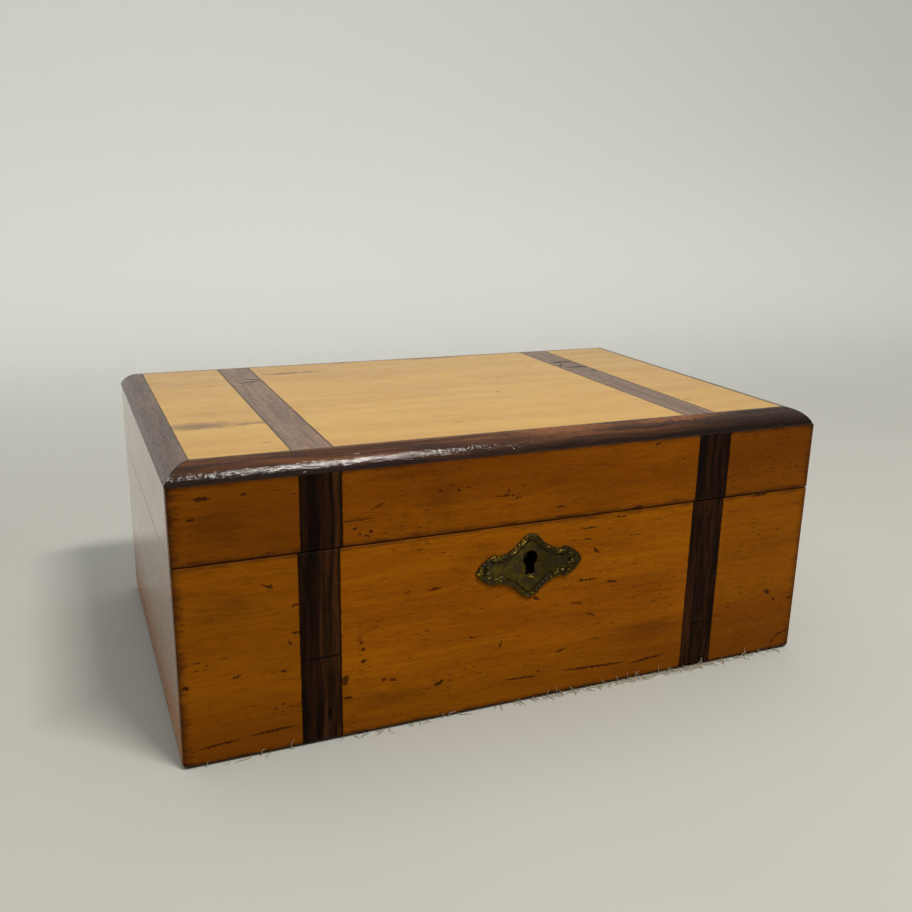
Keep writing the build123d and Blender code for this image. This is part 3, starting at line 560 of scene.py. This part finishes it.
materials = {
    "body_front": pale_wood(
        "body_front_wood", X, (X, Z), honey, amber, spots=body_marks,
        patches=[(-122, 62, 22, 12, 0), (-20, 70, 20, 6, 0), (60, 24, 30, 8, 0), (-60, 14, 26, 7, 0)],
        busy=[(33, 58, 26, 44, 0), (-12, 12, 90, 14, 0), (112, 28, 40, 30, 0), (-98, 22, 14, 26, 0),
              (-64, 26, 26, 24, 0)],
        lines=sides(*both("front_band")), edges=board_edges(body_low, body_high),
        # the last shade, darker towards the bottom, is painted shade
        shades=[(X, -84, -96, 0.3), (X, 86, 98, 0.28), (Z, 34, 6, 0.36)],
        # hole: painted shade in the keyhole
        outside=front_skin, hole=[(0, 62, 14, 20, 0)]),
    "lid_front": pale_wood(
        "lid_front_wood", X, (X, Z), lid_honey, lid_amber, spots=lid_marks,
        patches=[(-39, 95, 13, 17, 0), (-122, 94, 16, 12, 0), (-50, 106, 40, 4, 0)],
        busy=[(-66, 88, 22, 12, 0), (112, 92, 40, 16, 0)],
        lines=sides("lid_left_front_band", "lid_right_front_band"), edges=board_edges(lid_low, moulding_low),
        shades=[(X, -84, -96, 0.42), (X, 84, 98, 0.36)], outside=front_skin),
    "back": pale_wood(
        "back_wood", X, (X, Z), honey, amber,
        patches=[(-60, 40, 40, 14, 0), (20, 12, 60, 9, 0)],
        lines=sides(*both("back_band")), edges=board_edges(body_low, body_high),
        outside=back_skin),
    "lid_back": pale_wood(
        "lid_back_wood", X, (X, Z), lid_honey, lid_amber,
        patches=[(40, 92, 30, 9, 0), (-100, 96, 24, 9, 0)],
        lines=sides("lid_left_back_band", "lid_right_back_band"), edges=board_edges(lid_low, moulding_low),
        outside=back_skin),
    "left_side": side_wood("left_side_wood", (X, left_x + 1.2, left_x + 0.4)),
    "right_side": side_wood("right_side_wood", (X, right_x - 1.2, right_x - 0.4)),
    "top": pale_wood(
        "top_wood", X, (X, Y), paint(206, 160, 66), paint(194, 142, 54), spots=top_marks,
        patches=[(-119, -34, 25, 9, -3), (-98, -35, 16, 4, 0), (-60, 60, 30, 4, 2), (20, 78, 26, 3, 0)],
        lines=sides(*both("top_band")) + [
            (X, corner("left_moulding", 1, X)), (X, corner("right_moulding", 0, X)),
            (Y, moulding_back), (Y, corner("back_moulding", 0, Y))],
        shades=[(Y, 10, 84, 0.16), (X, 70, 120, 0.16), (X, -80, -120, 0.08)],
        flecks=0.3, contrast=0.45, soil=0.9, soiled=paint(108, 68, 28), gloss=0.34, coat=0.2, shine=0.45,
        outside=(Z, top_z - inlay - fade, top_z - inlay)),
    "inner": pale_wood("inner_wood", X, (X, Y), paint(170, 118, 62), paint(142, 92, 42), flecks=0.6,
                       gloss=0.5),
    "cover": pale_wood("cover_wood", X, (X, Y), paint(158, 92, 44), paint(136, 74, 32), flecks=0.8,
                       contrast=0.7, gloss=0.3, coat=0.4, shine=0.3),
    "left_band": dark_wood(
        "left_band_wood", Z, rosewood, rosewood_deep, split=(X, Z, -86.6, 0.03),
        cracks=[(-87, 36.4, 16, 0.7, 2), (-84, 12, 1, 6, 0)],
        lines=sides("left_front_band")),
    "left_lid_band": dark_wood(
        "left_lid_band_wood", Z, rosewood, rosewood_deep, split=(X, Z, -81.8, 0.0),
        lines=sides("lid_left_front_band")),
    "right_band": dark_wood(
        "right_band_wood", Z, paint(64, 35, 15), paint(22, 11, 4), cracks=[(85, 22, 9, 0.6, 4)],
        lines=sides("right_front_band")),
    "right_lid_band": dark_wood(
        "right_lid_band_wood", Z, paint(46, 24, 10), paint(18, 9, 4), lines=sides("lid_right_front_band")),
    "back_band": dark_wood("back_band_wood", Z, rosewood, rosewood_deep),
    "top_band": dark_wood(
        "top_band_wood", Y, paint(140, 106, 82), paint(98, 70, 54), face=(X, Y),
        cracks=[(-84.6, 44, 11, 1.3, 20), (-81.5, 50, 6, 1.3, -20), (85, 46, 12, 2.4, 6),
                (87, 31, 12, 2.2, -6), (80, 37, 5, 1.4, 60), (90, 20, 4, 1.0, 10)],
        lines=sides(*both("top_band")), gloss=0.38, coat=0.1, lustre=0.3, shine=0.4,
        shades=[(X, 60, 80, 0.14)]),
    "front_moulding": dark_wood(
        "front_moulding_wood", X, paint(104, 62, 33), paint(54, 30, 16), face=(X, Y), mitred=True,
        # painted shade on the moulding's lower part
        foot=(moulding_low + 0.8, moulding_low + 4.6),
        worn=[(16, moulding_back - 2.5, 34, 5, 0), (70, moulding_back - 2, 40, 3, 0)],
        gloss=0.27, coat=0.4, coat_roughness=0.05, depth=0.16, shine=0.03,
        shades=[(X, 30, 110, 0.8), (X, -90, -130, 0.15)]),
    "back_moulding": dark_wood("back_moulding_wood", X, paint(108, 66, 38), paint(60, 34, 20), gloss=0.3,
                               coat=0.14, shine=0.16, mitred=True),
    "side_moulding": dark_wood(
        "side_moulding_wood", Y, paint(112, 82, 68), paint(64, 44, 38), gloss=0.36, coat=0.15, lustre=0.2,
        shine=0.35, mitred=True),
    "knob": dark_wood("knob_wood", Z, paint(58, 38, 28), paint(28, 18, 14), gloss=0.22, coat=0.5),
    "patinated": metal("patinated_brass", paint(92, 78, 30), paint(46, 37, 15), 0.24, tarnish=0.65, scale=0.3,
                       depth=0.1, rubbed=(Y, front_y - 0.95, front_y - 1.4, paint(232, 184, 84)),
                       # two rubbed bright patches on the rim, then painted glints: the left tip, a right-hand
                       # bead, an arc below the keyhole
                       spots=[(-2.9, 72, 3.0, 1.1, 38), (-7.4, 68.3, 3.0, 1.0, 34), (-23, 61.6, 1.0, 1.0, 0),
                              (13.4, 66.4, 1.1, 0.8, 0), (0.4, 56.9, 2.4, 0.4, 0)],
                       # painted shade: the plate darker towards its right
                       shades=[(X, -3, 7, 0.45)]),
    "black_steel": metal("blackened_steel", paint(52, 48, 44), paint(24, 21, 19), 0.4, tarnish=0.7),
    "pin": metal("pin_brass", paint(104, 86, 44), paint(44, 34, 16), 0.24, tarnish=0.6, scale=1.5),
    "brass": metal("aged_brass", paint(196, 158, 84), paint(120, 90, 42), 0.28, tarnish=0.4, scale=0.3,
                   brushed=X),
    "steel": metal("dull_steel", paint(150, 146, 140), paint(84, 72, 62), 0.34, tarnish=0.45, brushed=X),
    "foil": foil("tea_foil"),
    "baize": woven("worn_baize", paint(106, 112, 84), paint(46, 52, 36), 0.9, 0.6,
                   tired=paint(150, 142, 116)),
    "thread": woven("frayed_thread", paint(206, 198, 176), paint(146, 134, 106), 0.5, 0.5, sheen=0.2),
    "velvet": velvet("lid_velvet", paint(132, 34, 40), paint(84, 16, 22),
                     crease=(pad_low + 1.4, pad_low + 3.4)),
    "button": velvet("button_velvet", paint(120, 30, 36), paint(80, 16, 22)),
}

finishes = {
    "body_front": ["front_board"],
    "lid_front": ["lid_front_board"],
    "back": ["back_board"],
    "lid_back": ["lid_back_board"],
    "left_side": ["left_board", "lid_left_board"],
    "right_side": ["right_board", "lid_right_board"],
    "top": ["lid_top_board"],
    "inner": ["bottom_board", "central_division", *both("ledges")],
    "cover": both("inner_lid"),
    "knob": both("inner_lid_knob"),
    "left_band": ["left_front_band"],
    "left_lid_band": ["lid_left_front_band"],
    "right_band": ["right_front_band"],
    "right_lid_band": ["lid_right_front_band"],
    "back_band": [*both("back_band"), "lid_left_back_band", "lid_right_back_band"],
    "top_band": both("top_band"),
    "front_moulding": ["front_moulding"],
    "back_moulding": ["back_moulding"],
    "side_moulding": both("moulding"),
    "patinated": ["escutcheon"],
    "pin": ["escutcheon_pins"],
    "brass": ["lock_case", "link_plate", *both("hinge_lower_leaf", "hinge_upper_leaf")],
    # the lock cap is blackened as painted shade, so that the keyhole looks dark
    "black_steel": ["lock_key_pin", "lock_cap"],
    "steel": ["lock_screws", "lock_bolt", "bolt_spring", "link_staples", "link_screws",
              "lower_hinge_screws", "upper_hinge_screws", *both("hinge_pin")],
    "foil": both("foil_lining"),
    "baize": ["base_cloth"],
    "velvet": ["lid_lining_pad"],
}

for finish, nodes in finishes.items():
    for node in nodes:
        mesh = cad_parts[node].data
        mesh.materials.clear()
        mesh.materials.append(materials[finish])


# ------------------------------------------------------------------ new pieces

def placed(name, data):
    """A new object in the scene."""
    made = bpy.data.objects.new(name, data)
    bpy.context.scene.collection.objects.link(made)
    return made


def piece(name, vertices, faces, material, body):
    """A mesh in millimetres as a piece that rides on a body."""
    mesh = bpy.data.meshes.new(name)
    mesh.from_pydata([Vector(vertex) * MM for vertex in vertices], [], faces)
    shell = bmesh.new()
    shell.from_mesh(mesh)
    bmesh.ops.recalc_face_normals(shell, faces=shell.faces)
    shell.to_mesh(mesh)
    shell.free()
    mesh.polygons.foreach_set("use_smooth", [True] * len(mesh.polygons))
    mesh.materials.append(material)
    made = placed(name, mesh)
    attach(made, body)
    return made


def smooth_step(value, low, high):
    share = min(1.0, max(0.0, (value - low) / (high - low)))
    return share * share * (3 - 2 * share)


def slab_faces(across, along):
    """The faces of a closed slab whose vertices are a lower grid, row by row, and then an upper one."""
    row = across + 1
    layer = row * (along + 1)
    faces = []
    for j in range(along):
        for i in range(across):
            index = j * row + i
            quad = (index, index + 1, index + row + 1, index + row)
            faces += [quad[::-1], tuple(number + layer for number in quad)]
    rim = [j * row for j in range(along, -1, -1)] + list(range(1, row))
    rim += [j * row + across for j in range(1, along + 1)]
    rim += [along * row + i for i in range(across - 1, 0, -1)]
    for start, end in zip(rim, rim[1:] + rim[:1]):
        faces.append((start, end, end + layer, start + layer))
    return faces


def ring_faces(start, rings, around):
    """The faces between rings of vertices that follow one another."""
    faces = []
    for near in range(start, start + (rings - 1) * around, around):
        far = near + around
        for turn in range(around):
            following = (turn + 1) % around
            faces.append((near + turn, near + following, far + following, far + turn))
    return faces


def resampled(points, count):
    """That many points, evenly spaced along a closed line."""
    lengths = [0.0]
    closed = points + points[:1]
    for start, end in zip(closed, closed[1:]):
        lengths.append(lengths[-1] + math.dist(start, end))
    found, segment = [], 0
    for step in range(count):
        target = lengths[-1] * step / count
        while lengths[segment + 1] < target:
            segment += 1
        share = (target - lengths[segment]) / (lengths[segment + 1] - lengths[segment])
        start, end = closed[segment], closed[segment + 1]
        found.append((start[0] + (end[0] - start[0]) * share, start[1] + (end[1] - start[1]) * share))
    return found


def arc_through(start, middle, end, steps=12):
    """Points along a smooth curve from start to end that passes through the middle."""
    control = [2 * middle[axis] - (start[axis] + end[axis]) / 2 for axis in (0, 1)]
    found = []
    for step in range(steps):
        share = step / steps
        found.append(tuple((1 - share) ** 2 * start[axis] + 2 * share * (1 - share) * control[axis]
                           + share ** 2 * end[axis] for axis in (0, 1)))
    return found


def escutcheon_outline():
    """The plate's edge about its own centre, as (across, up)."""
    quarter = [(24, 0), (20.8, 4.0), (16, 6.6), (14.2, 5.8), (12.2, 6.2), (8.0, 8.2), (4.2, 11.7),
               (2.1, 13.3), (0, 13.9)]
    curve = []
    for start, middle, end in zip(quarter[0::2], quarter[1::2], quarter[2::2]):
        curve += arc_through(start, middle, end)
    curve.append(quarter[-1])
    upper = curve + [(-across, up) for across, up in reversed(curve[:-1])]
    return upper + [(-across, -up) for across, up in upper[1:-1]]


def keyhole_outline(radius=3.2, centre=3.3, half_slot=2.2, neck=0.8, low=-3.6, cut=(0.5, 0.6), steps=36):
    """The keyhole's edge about the plate's centre: a round hole over a slot that widens downwards. neck is
    the share of the slot's width that it has at the hole, and cut is taken off its lower corners."""
    start = math.asin(half_slot * neck / radius)
    found = []
    for step in range(steps + 1):
        angle = start + (math.tau - 2 * start) * step / steps
        found.append((radius * math.sin(angle), centre - radius * math.cos(angle)))
    return found + [(-half_slot, low + cut[1]), (-half_slot + cut[0], low), (half_slot - cut[0], low),
                    (half_slot, low + cut[1])]


plate_centre = ((corner("escutcheon", 0, X) + corner("escutcheon", 1, X)) / 2,
                (corner("escutcheon", 0, Z) + corner("escutcheon", 1, Z)) / 2)
plate_back = corner("escutcheon", 1, Y)

beads = [(21.3, 0.2, 1.35), (18.4, 2.3, 1.5), (18.2, -1.9, 1.5), (15.6, 4.3, 1.0), (15.4, -4.2, 1.0)]
curls = [(-12.6, -5.0, 2.3), (12.8, -4.9, 1.9), (-12.4, 5.2, 1.6), (12.4, 5.2, 1.7)]


def distance_to(points, across, up):
    return min(math.hypot(across - point[0], up - point[1]) for point in points)


def relief(across, up, edge, ground=0.42, rim_rise=0.85, rim_width=2.4, curl_rise=0.65, highest=1.45):
    """Height of the plate's face above the board, that far in from its edge."""
    rough = noise.fractal(Vector((across * 0.9, up * 0.9, 3.0)), 1.0, 2.0, 4)
    chatter = 0.5 + 0.5 * math.sin(across * 2.6 + up * 1.7 + 3 * rough)
    rim = smooth_step(edge, rim_width, 1.0) * smooth_step(edge, 0.0, 0.55)
    gutter = smooth_step(abs(edge - rim_width - 0.2), 0.6, 0.1)
    height = ground + 0.06 * rough + rim_rise * rim * (0.3 + 0.7 * chatter) - 0.16 * gutter
    height *= 0.25 + 0.75 * smooth_step(edge, 0.0, 0.5)
    for bead_across, bead_up, radius in beads:
        for side in (-1, 1):
            far = math.hypot(across - side * bead_across, up - bead_up)
            if far < radius:
                height = max(height, 0.35 + math.sqrt(1 - (far / radius) ** 2))
    for curl_across, curl_up, radius in curls:
        dx, dz = across - curl_across, up - curl_up
        far = math.hypot(dx, dz)
        if far < radius * 1.25:
            ribs = 0.5 + 0.5 * math.cos(far * 4.2 - math.atan2(dz, dx))
            height = max(height, (0.45 + curl_rise * ribs) * smooth_step(far, radius * 1.25, radius * 0.8))
    lip = math.hypot(across, (up + 4.4) * 1.4)
    height += 0.3 * smooth_step(abs(lip - 1.7), 0.6, 0.0) * (up < -3.9)    # a lip round the slot's lower end
    return min(height, highest)


def build_escutcheon(count=420, hole_points=720, rings=40, spacing=1.15, worn=0.72, middle=0.8):
    """The pressed plate, as rings from the keyhole's edge to its own. The rays that join the two edges start
    from a middle that is a little over the plate's centre, and the keyhole's edge is worn to that share."""
    def angle_of(across, up):
        return math.atan2(up - middle, across)

    def at(across, up, height):
        return plate_centre[0] + across, plate_back - height, plate_centre[1] + up

    outer = resampled(escutcheon_outline(), count)
    hole = resampled(keyhole_outline(), hole_points)
    inner = []
    for point in outer:
        angle = angle_of(*point)
        inner.append(min(hole, key=lambda other: abs(math.remainder(angle_of(*other) - angle, math.tau))))
    vertices = []
    for ring in range(rings + 1):
        share = 1 - (1 - ring / rings) ** spacing
        for (ax, az), (bx, bz) in zip(inner, outer):
            across, up = ax + (bx - ax) * share, az + (bz - az) * share
            edge = distance_to(outer[::3], across, up) if ring < rings else 0.0
            height = relief(across, up, edge)
            if ring == 0:
                height *= worn
            vertices.append(at(across, up, height))
    vertices += [at(*point, 0) for point in outer + inner]
    faces = ring_faces(0, rings + 3, count)
    last = (rings + 2) * count
    for step in range(count):
        following = (step + 1) % count
        faces.append((last + step, last + following, following, step))
    made = piece("escutcheon_relief", vertices, faces, materials["patinated"], "box")
    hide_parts("escutcheon")


def build_base_cloth(step=3.0, bite=1.1, rise=0.12):
    """The worn cloth under the box, its edge nibbled and slightly rippled."""
    low, high = box("base_cloth")
    across = round((high.x - low.x) / step)
    along = round((high.y - low.y) / step)
    vertices = []
    for level in (0, 1):
        for j in range(along + 1):
            for i in range(across + 1):
                x = low.x + (high.x - low.x) * i / across
                y = low.y + (high.y - low.y) * j / along
                inward = min(i, across - i, j, along - j)
                ripple = 0.5 + 0.5 * noise.noise(Vector((x * 0.05, y * 0.05, 1)))
                if inward == 0:
                    nibble = bite * abs(noise.noise(Vector((x * 0.4, y * 0.4, 5))))
                    x -= nibble * (i == across) - nibble * (i == 0)
                    y -= nibble * (j == along) - nibble * (j == 0)
                bottom = low.z + rise * ripple * (inward > 0)
                vertices.append((x, y, bottom if level == 0 else high.z))
    made = piece("base_baize", vertices, slab_faces(across, along), materials["baize"], "box")
    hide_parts("base_cloth")
    return made, (high.x - low.x) * MM, (high.y - low.y) * MM


def thread_mesh(path, radius, vertices, faces, around=5):
    """Adds a thin tapering tube along a path."""
    start = len(vertices)
    for number, point in enumerate(path):
        before = path[max(0, number - 1)]
        after = path[min(len(path) - 1, number + 1)]
        forward = (after - before).normalized()
        side = forward.cross(Vector((0.2, 0.3, 1))).normalized()
        up = side.cross(forward)
        thin = radius * (1 - 0.6 * number / (len(path) - 1))
        for turn in range(around):
            angle = math.tau * turn / around
            vertices.append(point + (side * math.cos(angle) + up * math.sin(angle)) * thin)
    faces.extend(ring_faces(start, len(path), around))
    last = start + (len(path) - 1) * around
    faces.append(tuple(range(start, start + around))[::-1])
    faces.append(tuple(range(last, last + around)))


def build_threads(count=220, rising=0.15, crowded=0.75, crowd=(-20, 134, 84), half_width=134, steps=9,
                  radii=(0.13, 0.22), lowest=0.26):
    """Loose ends of the base cloth along the front edge, most of them crowded around the right-hand band. A
    few curl up in front of the wall, and the others lie on the ground."""
    random.seed(21)
    edge_y = corner("base_cloth", 0, Y)
    vertices, faces = [], []
    for _ in range(count):
        if random.random() < crowded:
            x = random.triangular(*crowd)
        else:
            x = random.uniform(-half_width, half_width)
        upward = random.random() < rising
        length = random.uniform(1.8, 4.8 if upward else 6.5)
        swing = random.uniform(-0.9, 0.9)
        path = [Vector((x, edge_y + 0.6, random.uniform(0.3, 0.55)))]
        path.append(Vector((x + 0.4 * swing, front_y - random.uniform(0.15, 0.4), random.uniform(0.3, 0.5))))
        for _ in range(steps):
            swing += random.uniform(-0.6, 0.6)
            side, ahead = math.sin(swing), math.cos(swing)
            move = (side, random.uniform(-0.15, 0.1), ahead) if upward else (side, -abs(ahead) * 0.7, 0.02)
            point = path[-1] + Vector(move) * (length / steps)
            path.append(Vector((point.x, min(point.y, front_y - 0.2), max(point.z, lowest))))
        thread_mesh(path, random.uniform(*radii), vertices, faces)
    made = piece("frayed_threads", vertices, faces, materials["thread"], "box")
    return made


def build_lid_pad(step=1.2, tufts_across=8, tufts_along=5, base=0.3, rise=3.8, deepest=4.4, hem=7):
    """A velvet pad inside the lid, drawn down by buttons in a diamond pattern, its soft side down."""
    low, high = box("lid_lining_pad")
    wide, deep = high.x - low.x, high.y - low.y
    across, along = round(wide / step), round(deep / step)
    pitch_x, pitch_y = wide / tufts_across, deep / tufts_along
    buttons = []
    for j in range(2 * tufts_along + 1):
        for i in range(2 * tufts_across + 1):
            if (i + j) % 2 and 0 < j < 2 * tufts_along and 0 < i < 2 * tufts_across:
                buttons.append((low.x + pitch_x * i / 2, low.y + pitch_y * j / 2))
    vertices = []
    for j in range(along + 1):
        for i in range(across + 1):
            x, y = low.x + wide * i / across, low.y + deep * j / along
            u, v = (x - low.x) / pitch_x, (y - low.y) / pitch_y
            crest = abs(math.sin(math.pi * (u + v + 0.5))) * abs(math.sin(math.pi * (u - v + 0.5)))
            swell = crest ** 0.45
            border = smooth_step(min(x - low.x, high.x - x, y - low.y, high.y - y), 0, hem)
            crumple = 0.25 * noise.fractal(Vector((x * 0.12, y * 0.12, 0)), 1.0, 2.0, 3)
            height = (base + rise * swell + crumple) * (0.3 + 0.7 * border)
            vertices.append((x, y, high.z - min(height, deepest)))
    vertices += [(x, y, high.z) for x, y, _ in vertices]
    pad = piece("lid_pad", vertices, slab_faces(across, along), materials["velvet"], "lid")
    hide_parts("lid_lining_pad")

    vertices, faces = [], []
    for x, y in buttons:
        button(x, y, high.z - base, vertices, faces)
    made = piece("lid_pad_buttons", vertices, faces, materials["button"], "lid")


def button(x, y, z, vertices, faces, radius=3.2, height=2.0, rings=6, around=20):
    """A domed covered button that faces down."""
    start = len(vertices)
    vertices.append(Vector((x, y, z - height)))
    for ring in range(1, rings + 1):
        angle = math.pi / 2 * ring / rings
        out, down = radius * math.sin(angle), height * math.cos(angle)
        for turn in range(around):
            swing = math.tau * turn / around
            vertices.append(Vector((x + out * math.cos(swing), y + out * math.sin(swing), z - down)))
    vertices.append(Vector((x, y, z)))
    faces.extend(ring_faces(start + 1, rings, around))
    last = start + 1 + (rings - 1) * around
    for turn in range(around):
        following = (turn + 1) % around
        faces.append((start, start + 1 + turn, start + 1 + following))
        faces.append((last + turn, last + following, len(vertices) - 1))


build_escutcheon()
threads = build_threads()
baize, cloth_wide, cloth_deep = build_base_cloth()
build_lid_pad()


# -------------------------------------------------------- studio and camera

def build_studio(half_width=14.0, front=-14.0, wall=1.5, bend=0.8, height=2.6, steps=16):
    """A wide pale floor that curves up into a pale wall behind the object."""
    profile = [(front, 0.0), (wall - bend, 0.0)]
    for step in range(1, steps + 1):
        angle = math.pi / 2 * step / steps
        profile.append((wall - bend + bend * math.sin(angle), bend - bend * math.cos(angle)))
    profile.append((wall, height))
    vertices = [(side * half_width, y, z) for y, z in profile for side in (-1, 1)]
    faces = [(2 * step, 2 * step + 1, 2 * step + 3, 2 * step + 2) for step in range(len(profile) - 1)]
    mesh = bpy.data.meshes.new("studio_floor")
    mesh.from_pydata(vertices, [], faces)
    mesh.polygons.foreach_set("use_smooth", [True] * len(mesh.polygons))
    graph = Graph("studio_paint")
    speckle = graph.blotches(0.004)
    colour = graph.mix(graph.between(speckle, 0.2, 0.8), paint(188, 188, 183), paint(184, 184, 178))
    # painted light: the floor and wall are paler behind the box and far away from it
    away = graph.between(graph.vector_math("LENGTH", graph.place), 1000, 2600)
    paler = graph.most(graph.between(graph.axes[Y], 160, 1200), away)
    colour = graph.mix(paler, colour, paint(250, 251, 248))
    mesh.materials.append(graph.finish(colour, 0.85, Specular_IOR_Level=0.1))
    placed("studio_floor", mesh)


def build_lamp(place=(0.31, -0.79, 1.43), target=(-0.08, -0.085, 0.11), size=(0.46, 0.12), power=17,
               colour=(1.0, 0.96, 0.88)):
    """A soft lamp over the near right-hand side, aimed at the front's left half."""
    light = bpy.data.lights.new("ceiling_lamp", "AREA")
    light.shape = "RECTANGLE"
    light.size, light.size_y = size
    light.energy = power
    light.color = colour
    made = placed("ceiling_lamp", light)
    made.location = place
    made.rotation_euler = (Vector(target) - Vector(place)).to_track_quat("-Z", "Y").to_euler()


def build_world(dim=0.1, behind=0.5, overhead=0.62, seen=0.62):
    """A room whose ceiling and far side are lit and whose near side is dim. The camera sees it pale."""
    world = bpy.data.worlds.new("room")
    world.use_nodes = True
    tree = Tree(world.node_tree)
    direction = tree.add("ShaderNodeSeparateXYZ", [tree.add("ShaderNodeTexCoord").outputs["Generated"]])
    light = tree.math("ADD", tree.between(direction.outputs[Y], -0.35, 0.75, 0.0, behind), dim)
    light = tree.math("ADD", tree.between(direction.outputs[Z], 0.25, 0.95, 0.0, overhead), light)
    camera_ray = tree.add("ShaderNodeLightPath").outputs["Is Camera Ray"]
    strength = tree.add("ShaderNodeMix", [camera_ray, None, light, seen]).outputs[0]
    tree.fill(tree.nodes["Background"], Color=(1.0, 1.0, 0.97), Strength=strength)
    bpy.context.scene.world = world


def place_camera(place=(-0.1709, -0.4153, 0.2125), yaw=22.91, pitch=16.04, roll=1.04, lens=38.46):
    """The camera stands in front of the box's left end and looks down at it a little."""
    data = bpy.data.cameras.new("camera")
    data.sensor_width = 36
    data.lens = lens
    data.clip_start = 0.01
    camera = placed("camera", data)
    turn = (Matrix.Rotation(math.radians(-yaw), 4, "Z") @ Matrix.Rotation(math.radians(90 - pitch), 4, "X")
            @ Matrix.Rotation(math.radians(roll), 4, "Z"))
    camera.matrix_world = Matrix.Translation(place) @ turn
    bpy.context.scene.camera = camera


build_studio()
build_world()
build_lamp()
place_camera()
bpy.context.scene.view_settings.view_transform = "Standard"
